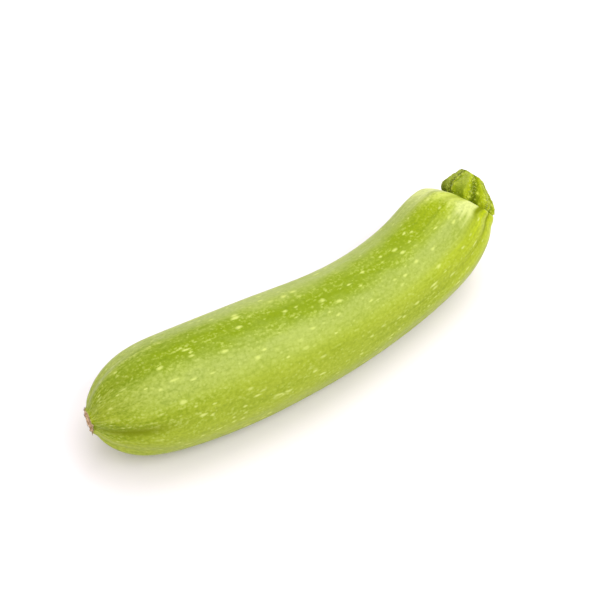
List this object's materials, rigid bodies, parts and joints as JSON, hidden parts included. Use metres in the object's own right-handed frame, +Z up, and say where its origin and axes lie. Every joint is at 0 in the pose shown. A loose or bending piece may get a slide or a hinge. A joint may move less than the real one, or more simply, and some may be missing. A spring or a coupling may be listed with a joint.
{
  "type": "zucchini",
  "caption": "A pale green zucchini as picked, gently bent, with a short ridged stem at one end and the scar of its flower at the other, lying on its side.",
  "frame": {"origin": "middle of the object's box on the surface that it lies on", "axes": "+X from the blossom end to the stem, +Y the side it bends towards, +Z up"},
  "size_m": [0.1928, 0.052, 0.0457],
  "materials": {
    "skin": "thin waxy vegetable skin, satin, pale yellow-green with darker bands and pale flecks",
    "stem": "fibrous cut stalk, matt, dark green with lighter ridges and a pale cut end"
  },
  "bodies": {
    "root": {"fruit": "skin", "stem": "stem"}
  },
  "joints": []
}
